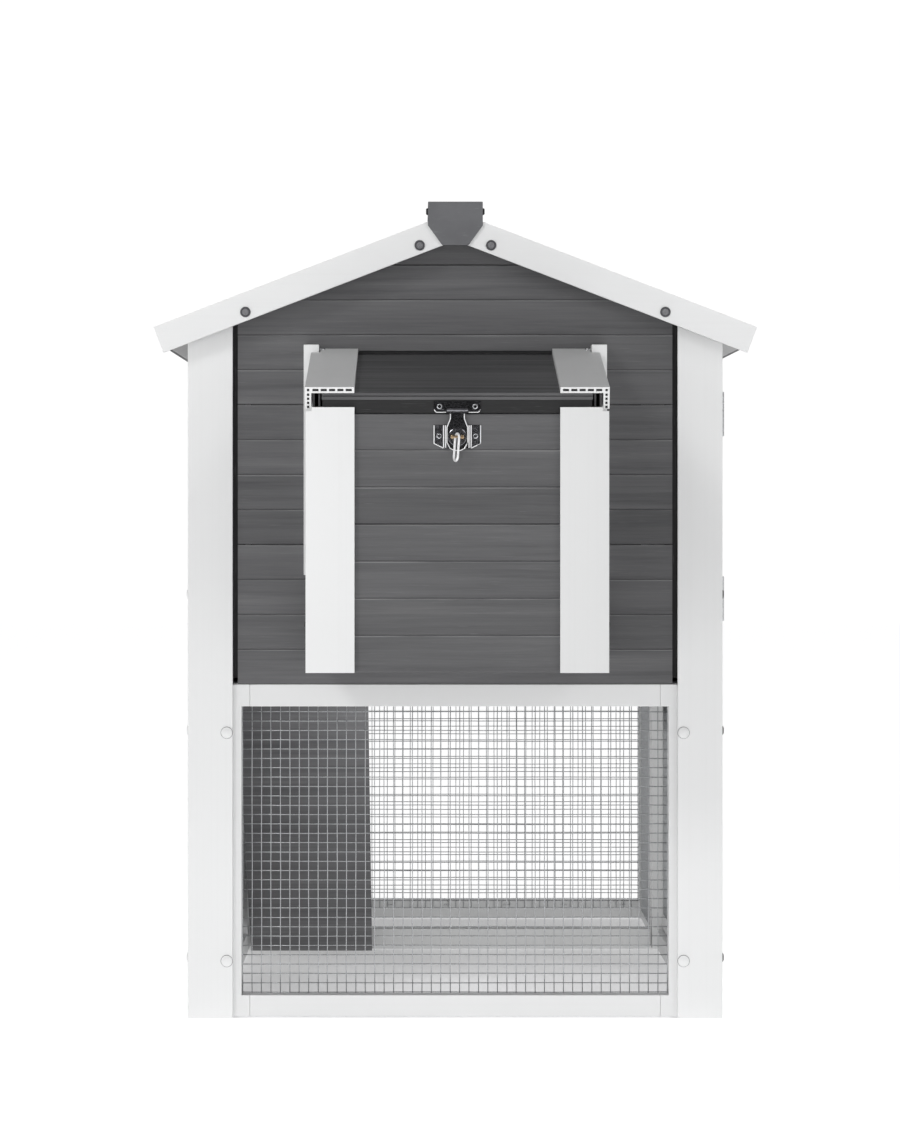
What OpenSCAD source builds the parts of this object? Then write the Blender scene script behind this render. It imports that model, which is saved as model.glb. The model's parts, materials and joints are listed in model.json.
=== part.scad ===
// Two-storey rabbit hutch: a mesh run below, a boarded house with a gable roof above
// and a nest box with a hinged lid on the front gable. Millimetres, +Z up.
// X runs across the gable, Y runs from the nest box end to the rear end.
// The origin is the middle of the overall box, on the ground.
// Depths inside the modules are measured from the front face of the front posts.

/* [Body] */
// Width over the corner posts
body_w = 715; // [690:1:740]
// Length over the corner posts
body_l = 1180; // [1150:1:1200]
// Height of the top of the run's upper rails
deck_z = 446.5; // [440:0.5:452]

/* [Posts and trims] */
// Wide flange of the L-section trim
trim_w = 60; // [56:0.5:62]
// Narrow leg of the L-section trim
trim_leg = 30; // [28:0.5:31]
// Thickness of the L-section trim
trim_t = 7.5; // [7:0.1:8]
// Depth of a boxed middle post
mid_post_d = 60; // [55:1:62]

/* [Siding] */
// Height of one siding board
board_h = 187.2; // [180:0.1:190]
// Thickness of one siding board
board_t = 10; // [9:0.5:10.5]
// Number of plank faces on a board
planks = 4; // [3:1:5]
// Depth of the grooves between plank faces
groove = 1.2; // [0.8:0.1:1.6]

/* [Roof] */
// Pitch of the roof in degrees
pitch = 21; // [20.5:0.1:21.5]
// Half width of the roof at the eaves
roof_hw = 401; // [396:0.5:404]
// Height of the rake trims' top line at the centre
apex_z = 1077; // [1075:0.5:1079]
// Overhang of the roof at each gable
overhang = 30; // [26:1:34]
// Height of the ridge cap's top
ridge_z = 1089.4; // [1087:0.1:1093]
// Width of the rake trims' front face
rake_w = 36.3; // [35:0.1:38]
// Thickness of the roof boards
roof_t = 18; // [14:1:20]

/* [Nest box] */
// Depth of the nest box in front of the posts
nest_d = 280; // [278:1:282]
// Half width over the nest box's corner trims
nest_hw = 191; // [190:0.5:192]
// Underside of the nest box
nest_z0 = 475; // [470:1:480]
// Top of the nest box's front panel
nest_z1 = 801.5; // [800:0.5:802]
// Slope of the lid in degrees
lid_tilt = 12.5; // [12.2:0.1:12.7]
// Length of the lid from its hinge line
lid_l = 285.2; // [284:0.1:286]

/* [Mesh] */
// Spacing of the modelled wires
mesh_pitch = 50.8; // [38.1:12.7:76.2]
// Wire thickness
wire = 2; // [1.6:0.1:2.4]

/* [Hidden] */
$fn = 48;

white = [0.90, 0.90, 0.90];
dark = [0.36, 0.36, 0.37];
steel = [0.75, 0.76, 0.78];

hw = body_w / 2;
L = body_l;
ring_b = 5.6;                                 // lock ring: half its inner width plus the wire's radius
ring_r = 1.5;                                 // radius of the ring's wire
ring_h = 34;                                  // length of the ring between its end centres and sides
ring_turn = 25;                               // turn of the ring about the vertical
bar_out = nest_d + 9.6;                       // the staple's outer bar, in front of the posts
ring_out = bar_out + ring_b * cos(ring_turn) + ring_r;   // the ring's front, the foremost point
rear_out = L + overhang + 4;                  // the ridge cap's rear end
shift_y = -(rear_out - ring_out) / 2;         // puts the overall box's middle at Y = 0
leg_x = hw - trim_t;                          // inner face of a post's side leg
side_x = leg_x - board_t;                     // inner face of the side siding
mid_y0 = 746;                                 // front face of the middle posts
mid_y1 = mid_y0 + mid_post_d;
sa = sin(pitch);
ca = cos(pitch);
ta = tan(pitch);
pl = board_h / planks;                        // one plank face
roof_under = (trim_t + roof_t) / ca;          // drop from the rake's top line to the roof's underside

// a point on the right roof slope: u down the slope, w above the rake's top line
function sl(u, w) = [u * ca + w * sa, apex_z - u * sa + w * ca];
function under(x) = apex_z - abs(x) * ta - roof_under;

module place() translate([0, shift_y, 0]) children();
module pair() { children(); mirror([1, 0, 0]) children(); }
module box(x0, x1, y0, y1, z0, z1) translate([x0, y0, z0]) cube([x1 - x0, y1 - y0, z1 - z0]);
// hollow members along each axis
module tube_x(x0, x1, y0, y1, z0, z1, w = 2.6) difference() {
    box(x0, x1, y0, y1, z0, z1);
    box(x0 - 1, x1 + 1, y0 + w, y1 - w, z0 + w, z1 - w);
}
module tube_y(x0, x1, y0, y1, z0, z1, w = 2.6) difference() {
    box(x0, x1, y0, y1, z0, z1);
    box(x0 + w, x1 - w, y0 - 1, y1 + 1, z0 + w, z1 - w);
}
module tube_z(x0, x1, y0, y1, z0, z1, w = 2.6) difference() {
    box(x0, x1, y0, y1, z0, z1);
    box(x0 + w, x1 - w, y0 + w, y1 - w, z0 - 1, z1 + 1);
}
// extrudes an XZ outline from depth a to depth b
module along_y(a, b) translate([0, b, 0]) rotate([90, 0, 0]) linear_extrude(b - a) children();
// L section with its outer corner at the origin, wide flange along +x, leg along +y
module trim2d(w, leg, t, slots = 5, cells = 3) difference() {
    polygon([[0, 0], [w, 0], [w, t], [t, t], [t, leg], [0, leg]]);
    translate([t / 2 - 1.5, t / 2 - 1.5]) square(3);
    for (i = [0 : slots - 1])
        translate([t + 1.6 + i * (w - t - 2) / slots, t / 2 - 1.5]) square([(w - t - 2) / slots - 2.8, 3]);
    for (j = [0 : cells - 1])
        translate([t / 2 - 1.5, t + 0.5 + j * (leg - t + 0.6) / cells]) square([3, 3.2]);
}
// board section: depth from the face along x, height along y, grooves at each plank face
function face_pts(h, n, g) = [for (i = [1 : n]) if (i * pl < h - 6)
    each [[0, i * pl - g * 0.9], [g, i * pl], [0, i * pl + g * 0.9]]];
module board2d(h, t, n = planks) difference() {
    polygon(concat([[groove, 0.3], [0, 0.3 + groove]], face_pts(h, n, groove),
        [[0, h - 0.3 - groove], [groove, h - 0.3], [t, h - 0.3], [t, 0.3]]));
    for (i = [0 : n - 1]) if ((i + 1) * pl < h + 4)
        translate([3, i * pl + 4.6]) square([t - 5.4, pl - 9.2]);
}
// boards stacked from z0 to z1, running along +X, face towards -Y
module wall_x(x0, x1, y, z0, z1, t = board_t)
    for (i = [0 : floor((z1 - z0 - 8) / board_h)])
        translate([x0, y, z0 + i * board_h]) rotate([90, 0, 90])
            linear_extrude(x1 - x0) board2d(min(board_h, z1 - z0 - i * board_h), t);
// boards stacked from z0 to z1, running along +Y, face towards +X at x
module wall_y(x, y0, y1, z0, z1, t = board_t)
    translate([x, 0, 0]) rotate([0, 0, 90]) wall_x(y0, y1, 0, z0, z1, t);
// flat wire grid in the XZ plane, thickness along Y from y
module grid_x(x0, x1, y, z0, z1) {
    nx = round((x1 - x0) / mesh_pitch);
    nz = round((z1 - z0) / mesh_pitch);
    px = (x1 - x0 - wire) / nx;
    pz = (z1 - z0 - wire) / nz;
    along_y(y, y + wire) difference() {
        translate([x0, z0]) square([x1 - x0, z1 - z0]);
        for (i = [0 : nx - 1], j = [0 : nz - 1])
            translate([x0 + wire + i * px, z0 + wire + j * pz]) square([px - wire, pz - wire]);
    }
}
// the same grid in the YZ plane, thickness along X from x
module grid_y(x, y0, y1, z0, z1)
    translate([x, 0, 0]) rotate([0, 0, 90]) translate([0, -wire, 0]) grid_x(y0, y1, 0, z0, z1);
// material under the roof boards only
module below_roof(a, b, lo = 0)
    along_y(a, b) polygon([[-hw - 1, lo], [hw + 1, lo], [hw + 1, under(hw + 1) - 0.3], [0, under(0) - 0.3], [-hw - 1, under(hw + 1) - 0.3]]);
module lid_frame() translate([0, 0, lid_axis_z]) rotate([lid_tilt, 0, 0]) children();

// ---------------------------------------------------------------- posts
module corner_post() intersection() {
    translate([hw, 0, 0]) mirror([1, 0, 0]) linear_extrude(960) trim2d(trim_w, trim_leg, trim_t);
    below_roof(-5, 60);
}
module front_left_post() place() color(white) mirror([1, 0, 0]) corner_post();
module front_right_post() place() color(white) corner_post();
// the rear posts turn their wide flange to the side
module rear_post() intersection() {
    translate([hw, 0, 0]) mirror([1, 0, 0]) linear_extrude(960) mirror([1, -1, 0]) trim2d(trim_w, trim_leg, trim_t);
    below_roof(-5, 70);
}
module rear_posts() place() color(white) translate([0, L, 0]) mirror([0, 1, 0]) pair() rear_post();
module middle_posts() place() color(white) pair() intersection() {
    tube_z(312, hw, mid_y0, mid_y1, 0, 960, 3);
    below_roof(mid_y0 - 1, mid_y1 + 1);
}

// ---------------------------------------------------------------- run frames
stile_x = 286;                                 // inner edge of the front frame's stiles
rear_stile_x = 315.7;                          // inner edge of the rear frame's stiles
// a frame across one end: stiles from sx outwards, with the rails let in between them
module end_frame(sx) {
    rx = sx - 11;
    pair() {
        tube_z(sx, side_x - 0.5, trim_t, trim_t + 22, 1.5, deck_z);
        box(rx, sx, trim_t, trim_t + 22, 1.5, 30.5);
        box(rx, sx, trim_t, trim_t + 22, deck_z - 29.5, deck_z);
    }
    tube_x(-rx + 0.2, rx - 0.2, trim_t, trim_t + 22, 1.5, 30.5);
    tube_x(-rx + 0.2, rx - 0.2, trim_t, trim_t + 22, deck_z - 29.5, deck_z);
}
module front_run_frame() place() color(white) end_frame(stile_x);
module rear_run_frame() place() color(white) translate([0, L, 0]) mirror([0, 1, 0]) end_frame(rear_stile_x);
module cross_rails() place() color(white) {
    tube_x(-309, 309, mid_y0, mid_y0 + 22, 0.5, 31.7);
    for (y = [262, 563, mid_y0]) tube_x(-309, 309, y, y + 22, deck_z - 30, deck_z - 0.2);
}
// a side frame of stiles and rails between two depths, outer face at xo
module side_frame(xi, xo, a, b, z0, z1, st, rl) {
    tube_z(xi, xo, a, a + st, z0, z1);
    tube_z(xi, xo, b - st, b, z0, z1);
    tube_y(xi, xo, a + st + 0.2, b - st - 0.2, z0, z0 + rl);
    tube_y(xi, xo, a + st + 0.2, b - st - 0.2, z1 - rl, z1);
}
fix_y1 = 440;                                  // rear edge of the fixed mesh panel
module right_run_frame() place() color(white) {
    side_frame(320, leg_x - 0.5, 30, fix_y1, 1.5, deck_z, 60, 30);
    tube_y(320, leg_x - 0.5, fix_y1 + 0.2, mid_y0 - 0.2, 1.5, 31.5);
    tube_y(320, leg_x - 0.5, fix_y1 + 0.2, mid_y0 - 0.2, deck_z - 30, deck_z);
}
module left_run_frame() place() color(white) mirror([1, 0, 0]) {
    side_frame(311, side_x - 0.2, 30, mid_y0 - 0.2, 1.5, deck_z, 60, 30);
}
module rear_bay_run_frames() place() color(white)
    pair() side_frame(320, leg_x - 0.5, mid_y1, L - 30, 1.5, deck_z, 60, 30);

// ---------------------------------------------------------------- mesh
module front_run_mesh() place() color(steel) grid_x(-299, 299, trim_t + 22, 18, deck_z - 12);
module rear_run_mesh() place() color(steel) grid_x(-317.6, 317.6, L - trim_t - 22 - wire, 18, deck_z - 12);
module right_run_mesh() place() color(steel) grid_y(320 - wire, 77, fix_y1 - 47, 18.5, deck_z - 17);
module rear_bay_run_meshes() place() color(steel) pair() grid_y(320 - wire, mid_y1 + 47, L - 77, 18.5, deck_z - 17);

// ---------------------------------------------------------------- house walls
siding_x = 291;
rear_siding_x = 321;
module gable_boards(sx) intersection() {
    wall_x(-sx, sx, trim_t, deck_z, deck_z + 620);
    below_roof(trim_t - 1, trim_t + 20, deck_z);
}
door_hx = 95;                                  // half width of the way into the nest box
module front_gable_siding() place() color(dark) difference() {
    gable_boards(siding_x);
    box(-door_hx, door_hx, trim_t - 1, trim_t + 20, 492, 700);
}
module rear_gable_siding() place() color(dark) translate([0, L, 0]) mirror([0, 1, 0]) gable_boards(rear_siding_x);
module left_siding() place() color(dark) mirror([1, 0, 0]) {
    wall_y(leg_x, 8, mid_y0 - 0.2, deck_z, 912);
    wall_y(leg_x, 30, mid_y0 - 0.2, 1.5, deck_z - 0.2);
    wall_y(leg_x, mid_y1 + 0.2, L - 8, deck_z, 912);
}
stud_y = trim_t + board_t;                     // back of the gable siding
floor_z = deck_z + board_t;
module wall_studs() place() color(dark) {
    for (m = [0, 1]) translate([0, m * L, 0]) mirror([0, m, 0]) pair() intersection() {
        tube_z(282, side_x - 0.5, stud_y, stud_y + 20, floor_z, 960);
        below_roof(stud_y - 1, stud_y + 30);
    }
    tube_z(320, leg_x - 0.5, 38, 63, floor_z, 884);
}
module wall_plates() place() color(white) {
    pair() tube_y(313, side_x - 0.5, 38, mid_y0 - 0.2, 884.4, 914);
    mirror([1, 0, 0]) tube_y(313, side_x - 0.5, mid_y1 + 0.2, L - 38, 884.4, 914);
}
module window_frame() place() color(white) {
    side_frame(320, leg_x - 0.5, mid_y1, L - 38, floor_z + 0.2, 912, 45, 45);
}
module window_mesh() place() color(steel) grid_y(320 - wire, mid_y1 + 32, L - 70, floor_z + 33, 880);

// ---------------------------------------------------------------- floor and ramp
hatch = [-308, -121, 288, 560];
module house_floor() place() color(dark) difference() {
    box(-side_x + 0.5, side_x - 0.5, 38, L - 38, deck_z, floor_z);
    for (i = [0 : 13]) box(-side_x + 5 + i * 48, -side_x + 5 + i * 48 + 43, 37, L - 37, deck_z + 2.4, floor_z - 3);
    pair() box(311.8, hw, mid_y0 - 0.2, mid_y1 + 0.2, deck_z - 1, floor_z + 1);
    box(hatch[0], hatch[1], hatch[2], hatch[3], deck_z - 1, floor_z + 1);
}
foot_y = 728;                                  // where the ramp's underside meets the ground
module ramp() place() color(dark) {
    difference() {
        translate([hatch[0], 0, 0]) rotate([90, 0, 90]) linear_extrude(hatch[1] - hatch[0])
            polygon([[foot_y, 0], [foot_y + 16.5, 0], [300.5, deck_z - 2.5], [284.2, deck_z - 2.5], [284.2, foot_y - 284.2]]);
    }
    for (i = [1 : 8]) translate([hatch[0] + 8, foot_y + 16.5 - i * 46, i * 46]) rotate([45, 0, 0])
        translate([0, 0.05, -5]) cube([hatch[1] - hatch[0] - 16, 7, 10]);
}

// ---------------------------------------------------------------- roof
roof_u = roof_hw / ca;
function roof_face(u0, u1) = [for (i = [1 : 3]) if (u1 - i * pl > u0 + 6)
    each [sl(u1 - i * pl + 1.1, -trim_t), sl(u1 - i * pl, -trim_t - groove), sl(u1 - i * pl - 1.1, -trim_t)]];
module roof_board(u0, u1) polygon(concat([sl(u1 - 0.3, -trim_t - roof_t), sl(u1 - 0.3, -trim_t - 1), sl(u1 - 1.3, -trim_t)],
    roof_face(u0, u1), [sl(u0 + 1.3, -trim_t), sl(u0 + 0.3, -trim_t - 1), sl(u0 + 0.3, -trim_t - roof_t)]));
module roof_panel() along_y(-overhang + trim_t, L + overhang - trim_t) {
    for (i = [0, 1]) difference() {
        roof_board(roof_u - (i + 1) * board_h, roof_u - i * board_h);
        for (k = [0 : 3]) polygon([sl(roof_u - i * board_h - k * pl - 5, -trim_t - 3.4), sl(roof_u - i * board_h - k * pl - 5, -trim_t - roof_t + 3),
            sl(roof_u - i * board_h - (k + 1) * pl + 5, -trim_t - roof_t + 3), sl(roof_u - i * board_h - (k + 1) * pl + 5, -trim_t - 3.4)]);
    }
    polygon([sl(roof_u - 2 * board_h - 0.3, -trim_t - roof_t), sl(roof_u - 2 * board_h - 0.3, -trim_t),
        [1, apex_z - trim_t / ca - ta], [1, apex_z - roof_under - ta]]);
}
module right_roof_panel() place() color(dark) roof_panel();
module left_roof_panel() place() color(dark) mirror([1, 0, 0]) roof_panel();
// rake trim: a front flange over the boards' ends and a leg over their top face
module rake() difference() {
    union() {
        along_y(-overhang, -overhang + trim_t) polygon([sl(roof_u, 0), sl(roof_u, -rake_w), [0.3, apex_z - rake_w / ca], [0.3, apex_z]]);
        along_y(-overhang + trim_t - 0.1, -overhang + 34) polygon([sl(roof_u, 0), sl(roof_u, -trim_t), [0.3, apex_z - trim_t / ca], [0.3, apex_z]]);
    }
}
module front_rake_trims() place() color(white) pair() rake();
module rear_rake_trims() place() color(white) translate([0, L, 0]) mirror([0, 1, 0]) pair() rake();
cap_hw = 36.4;
module ridge_cap() place() color(dark) {
    difference() {
        along_y(-overhang - 4, L + overhang + 4)
            polygon([[-cap_hw, 1057.8], [-cap_hw, ridge_z], [cap_hw, ridge_z], [cap_hw, 1057.8], [17.4, 1031.6], [-17.4, 1031.6]]);
        along_y(-overhang - 0.02, L + overhang + 0.02)
            polygon([[-cap_hw + 3, 1000], [-cap_hw + 3, ridge_z - 3], [cap_hw - 3, ridge_z - 3], [cap_hw - 3, 1000]]);
        along_y(-overhang - 0.02, L + overhang + 0.02)
            polygon([[-60, 1000], [-60, apex_z - 60 * ta + 0.3], [0, apex_z + 0.3], [60, apex_z - 60 * ta + 0.3], [60, 1000]]);
    }
}
module ridge_beam() place() color(dark) tube_y(-12, 12, stud_y, L - stud_y, 1004, under(12) - 0.2);

// ---------------------------------------------------------------- nest box
lid_axis_z = 890;
nx = nest_hw - trim_t - 0.5;                   // outer face of the side panels
panel_y = -nest_d + trim_t;                    // front face of the front panel
nest_in_x = nx - board_t;                      // inner face of the side panels
module nest_front_panel() place() color(dark) {
    // the lower board's top sits above its grooves' regular pitch
    wall_x(-nx, nx, panel_y, nest_z0, nest_z1);
}
module nest_side_panels() place() color(dark) intersection() {
    difference() {
        mirror([1, 0, 0]) pair() wall_y(nx, panel_y + board_t, trim_t, nest_z0, nest_z0 + 440);
        pair() box(nx - 1.8, nx + 5, -27.2, 20, 593.3, 930);
    }
    lid_frame() translate([-300, -400, -600]) cube([600, 500, 600 - 1.7]);
}
module nest_floor() place() color(dark) difference() {
    box(-nest_in_x, nest_in_x, panel_y + board_t, trim_t, nest_z0, nest_z0 + board_t);
    for (i = [0 : 6]) box(-168 + i * 48.5, -168 + i * 48.5 + 43, -300, 20, nest_z0 + 2.5, nest_z0 + board_t - 2.5);
}
module nest_corner_trims() place() color(white) pair() difference() {
    translate([nest_hw, -nest_d, nest_z0]) mirror([1, 0, 0]) linear_extrude(809.4 - nest_z0) trim2d(61.5, 28, trim_t);
    box(nx + 0.2, nest_hw + 1, -nest_d - 1, -nest_d + 40, 804.5, 820);
}
module nest_wall_trims() place() color(white) pair() tube_z(nx + 0.2 - 1.8, nx + 18.6, -27, trim_t, 593.5, 900, 2.2);
lid_top = 6.5;                                 // top of the trims above the hinge line
lid_t = 7.8;                                   // thickness of the lid's trims
module lid_boards() place() color(dark) lid_frame()
    translate([-170.8, 0, lid_top - lid_t - 9.2]) for (i = [0, 1]) difference() {
        box(0, 341.6, i == 0 ? -lid_l + 3 : -lid_l + 3 + board_h + 0.6, i == 0 ? -lid_l + 3 + board_h : -7, 0, 9.1);
        for (k = [0 : 3]) box(5 + k * 84, 5 + k * 84 + 80, -lid_l + 15, -20, 3, 6.2);
        if (i == 0) for (k = [1 : 3]) translate([-1, -lid_l + 3 + k * pl, 9.1]) rotate([45, 0, 0]) cube([400, 1.4, 1.4], center = false);
        box(-1, 342, -lid_l - 1, -lid_l + 5, 4.2, 5.6);
    }
module lid_trims() place() color(white) lid_frame() pair() difference() {
    translate([nest_hw + 0.7, -3.8, lid_top]) rotate([90, 0, 0]) mirror([1, 0, 0]) mirror([0, 1, 0])
        linear_extrude(lid_l - 3.8) trim2d(62, 28, lid_t, 5, 4);
    box(nx - 3.5, 220, -32.5, 10, -40, 20);
}
module lid_batten() place() color(dark) difference() {
    box(-170, 170, panel_y + 0.3, panel_y + 14.3, 802.2, 822);
    lid_frame() translate([-300, -400, lid_top - lid_t - 9.25]) cube([600, 500, 60]);
    pair() box(129, 172, panel_y - 1, panel_y + 20, 800, 809.8);
}
// lid hinges: the wall leaf carries two outer knuckles and the pin, the lid leaf the middle knuckle
module knuckle(x0, x1, r, bore = 0) translate([x0, 0, 0]) rotate([0, 90, 0]) difference() {
    cylinder(h = x1 - x0, r = r);
    if (bore > 0) translate([0, 0, -1]) cylinder(h = x1 - x0 + 2, r = bore);
}
module lid_hinge_wall_leaves() place() color(steel) pair() translate([150, 0, lid_axis_z]) {
    difference() {
        union() {
            knuckle(-20, -7.2, 3.4);
            knuckle(7.2, 20, 3.4);
            box(-20, -7.2, 0, trim_t - 1.4, -1, 1);
            box(7.2, 20, 0, trim_t - 1.4, -1, 1);
            box(-20, 20, trim_t - 1.5, trim_t, -36, 1);
        }
    }
    knuckle(-8, 8, 1.5);
}
module lid_hinge_lid_leaves() place() color(steel) lid_frame() pair() translate([150, 0, 0]) difference() {
    union() {
        knuckle(-7, 7, 3.4);
        box(-7, 7, -6.2, -1, -3.3, -1.3);
        box(-7, 7, -6.4, -4.8, -12, -1.3);
        box(-18, 18, -42, -4.8, -12, -10.55);
    }
    translate([-8, 0, 0]) rotate([0, 90, 0]) cylinder(h = 16, r = 1.56);
}

// ---------------------------------------------------------------- hasp
pin_y = panel_y - 4.2;                         // hasp hinge line
pin_z = 806;
eye_z = 772;                                   // centre of the strap's hole and of the staple
strap_y = pin_y - 1;                           // front face of the strap
module hasp_plate() place() color(steel) {
    difference() {
        union() {
            along_y(panel_y - 1.4, panel_y + 0.3) difference() {
                translate([-29.5, 802.6]) square([59, 14.6]);
                for (s = [-1, 1]) translate([s * 29.5, 802.6]) rotate(45) square(4, center = true);
            }
            for (s = [-1, 1]) translate([s * 11 - 2, pin_y, pin_z]) knuckle(0, 4, 2.6);
            for (s = [-1, 1]) box(s * 11 - 2, s * 11 + 2, pin_y, panel_y, pin_z - 0.6, pin_z + 1.6);
        }
        translate([-14, pin_y, pin_z]) rotate([0, 90, 0]) cylinder(h = 28, r = 1.24);
    }
    translate([-13.2, pin_y, pin_z]) rotate([0, 90, 0]) cylinder(h = 26.4, r = 1.2);
    for (s = [-1, 1]) translate([s * 22.4, panel_y - 1.4, 810.4]) rotate([90, 0, 0]) cylinder(h = 1.3, r1 = 3.6, r2 = 2.4);
}
module hasp_strap() place() color(steel) difference() {
    union() {
        along_y(strap_y, strap_y + 2) union() {
            translate([-8.8, 784]) square([17.6, pin_z - 784]);
            polygon([[-8.8, 795], [8.8, 795], [13, 784], [13, 765], [9, 757.5], [4, 755], [-4, 755], [-9, 757.5], [-13, 765], [-13, 784]]);
        }
        translate([-8.8, pin_y, pin_z]) knuckle(0, 17.6, 2.6);
        translate([0, strap_y + 0.2, eye_z]) rotate([90, 0, 0]) cylinder(h = 0.9, r = 11.2);
    }
    translate([0, strap_y + 8, eye_z]) rotate([90, 0, 0]) cylinder(h = 20, r = 9.5);
    translate([-20, pin_y, pin_z]) rotate([0, 90, 0]) cylinder(h = 40, r = 1.26);
}
bar_y = -bar_out;                        // the staple's outer bar
module staple_plate() place() color(steel) {
    difference() {
        union() {
            along_y(panel_y - 1.5, panel_y) polygon([[-29.5, 787], [29.5, 787], [29.5, 763.5], [17, 757.6], [-17, 757.6], [-29.5, 763.5]]);
            for (s = [-1, 1]) box(s * 16 - 1.8, s * 16 + 1.8, panel_y - 5.2, panel_y - 1.4, 757.9, 787);
            for (s = [-1, 1]) translate([s * 6, bar_y, eye_z]) rotate([-90, 0, 0]) cylinder(h = panel_y - 1 - bar_y, r = 1.6);
            for (s = [-1, 1]) translate([s * 6, bar_y, eye_z]) sphere(r = 1.6);
            translate([-6, bar_y, eye_z]) rotate([0, 90, 0]) cylinder(h = 12, r = 1.6);
        }
    }
    for (s = [-1, 1]) translate([s * 22.8, panel_y - 1.5, 773.2]) rotate([90, 0, 0]) cylinder(h = 1.3, r1 = 3.8, r2 = 2.5);
}
// oval ring hung over the staple's bar, turned a little about the vertical
module lock_ring() place() color(steel) translate([0, bar_y, eye_z + 3.7]) rotate([0, 4, 0]) rotate([0, 0, ring_turn]) translate([0, 0, -ring_b]) {
    rotate([90, 0, 90]) rotate_extrude(angle = 180) translate([ring_b, 0]) circle(r = ring_r, $fn = 24);
    translate([0, 0, -ring_h + 2 * ring_b]) mirror([0, 0, 1]) rotate([90, 0, 90]) rotate_extrude(angle = 180) translate([ring_b, 0]) circle(r = ring_r, $fn = 24);
    for (s = [-1, 1]) translate([0, s * ring_b, -ring_h + 2 * ring_b]) cylinder(h = ring_h - 2 * ring_b, r = ring_r, $fn = 24);
}

// ---------------------------------------------------------------- side doors
door_xi = 328;
door_xo = leg_x - 0.5;
hd_y0 = 66; hd_y1 = 742; hd_z0 = 489; hd_z1 = 880;
rd_y0 = 444; rd_y1 = 742; rd_z0 = 33; rd_z1 = 414.5;
module house_door_frame() place() color(white) side_frame(door_xi, door_xo, hd_y0, hd_y1, hd_z0, hd_z1, 45, 40);
module house_door_siding() place() color(dark)
    wall_y(door_xo - 5, hd_y0 + 45, hd_y1 - 45, hd_z0 + 40, hd_z1 - 40);
module run_door_frame() place() color(white) side_frame(door_xi, door_xo, rd_y0, rd_y1, rd_z0, rd_z1, 60, 40);
module run_door_mesh() place() color(steel) grid_y(door_xi - wire, rd_y0 + 47, rd_y1 - 47, rd_z0 + 27, rd_z1 - 27);
hinge_x = hw + 3.8;
module zknuckle(z0, z1, r) translate([0, 0, z0]) cylinder(h = z1 - z0, r = r);
// the post leaf carries the outer knuckles and the pin; dir is the side the post is on
module post_leaf(y, z, dir, face) translate([hinge_x, y, z]) {
    zknuckle(-30, -14.2, 3.6);
    zknuckle(14.2, 30, 3.6);
    zknuckle(-15, 15, 1.6);
    for (s = [0, 1]) mirror([0, 0, s]) difference() {
        translate([face - hinge_x, dir > 0 ? 0 : -24, 14.2]) cube([2, 24, 15.8]);
        translate([0, 0, 10]) cylinder(h = 30, r = 2.6);
    }
}
module door_leaf(y, z, dir) translate([hinge_x, y, z]) difference() {
    union() {
        zknuckle(-14, 14, 3.6);
        translate([door_xo - hinge_x, dir > 0 ? 1.8 : -3.8, -14]) cube([-door_xo + hinge_x, 2, 28]);
        translate([door_xo - hinge_x, dir > 0 ? 1.8 : -26, -14]) cube([2, 24.2, 28]);
    }
    translate([0, 0, -20]) cylinder(h = 40, r = 1.66);
}
hd_hinge_y = 62.5;
rd_hinge_y = 744.5;
module door_hinge_post_leaves() place() color(steel) {
    for (z = [560, 810]) translate([hinge_x, hd_hinge_y, z]) {
        zknuckle(-30, -14.2, 3.6);
        zknuckle(14.2, 30, 3.6);
        zknuckle(-15, 15, 1.6);
        for (s = [0, 1]) mirror([0, 0, s]) {
            translate([door_xo - hinge_x, -26, 14.2]) cube([2, 24, 15.8]);
            translate([door_xo - hinge_x, -3.5, 14.2]) cube([hinge_x - door_xo, 2, 15.8]);
        }
    }
    for (z = [120, 330]) translate([hinge_x, rd_hinge_y, z]) {
        zknuckle(-30, -14.2, 3.6);
        zknuckle(14.2, 30, 3.6);
        zknuckle(-15, 15, 1.6);
        for (s = [0, 1]) mirror([0, 0, s]) difference() {
            translate([hw - hinge_x, 0, 14.2]) cube([2, 24, 15.8]);
        }
    }
}
module house_door_hinge_leaves() place() color(steel) for (z = [560, 810]) door_leaf(hd_hinge_y, z, 1);
module run_door_hinge_leaves() place() color(steel) for (z = [120, 330]) door_leaf(rd_hinge_y, z, -1);
// slide bolts: shown drawn back, they shoot into the keepers
bolt_x = hw + 5.5;
module guide(y, z, dir) translate([bolt_x, y, z]) difference() {
    union() {
        translate([door_xo - bolt_x, -22, -16]) cube([2, 44, 32]);
        for (s = [-18, 14]) translate([door_xo - bolt_x, dir > 0 ? s : -s - 8, -7]) cube([bolt_x - door_xo + 6, 8, 14]);
    }
    translate([0, -40, 0]) rotate([-90, 0, 0]) cylinder(h = 80, r = 4.06);
}
module bolt(y, z, dir) translate([bolt_x, y, z]) rotate([dir > 0 ? -90 : 90, 0, 0]) {
    translate([0, 0, -26]) cylinder(h = 50, r = 4);
    translate([0, 0, -7.2]) rotate([0, 90, 0]) cylinder(h = 17, r = 2.6);
}
module house_door_bolt_guide() place() color(steel) guide(717, 690, 1);
module house_door_bolt() place() color(steel) bolt(717, 690, 1);
module run_door_bolt_guide() place() color(steel) guide(469, 225, -1);
module run_door_bolt() place() color(steel) bolt(469, 225, -1);
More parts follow.
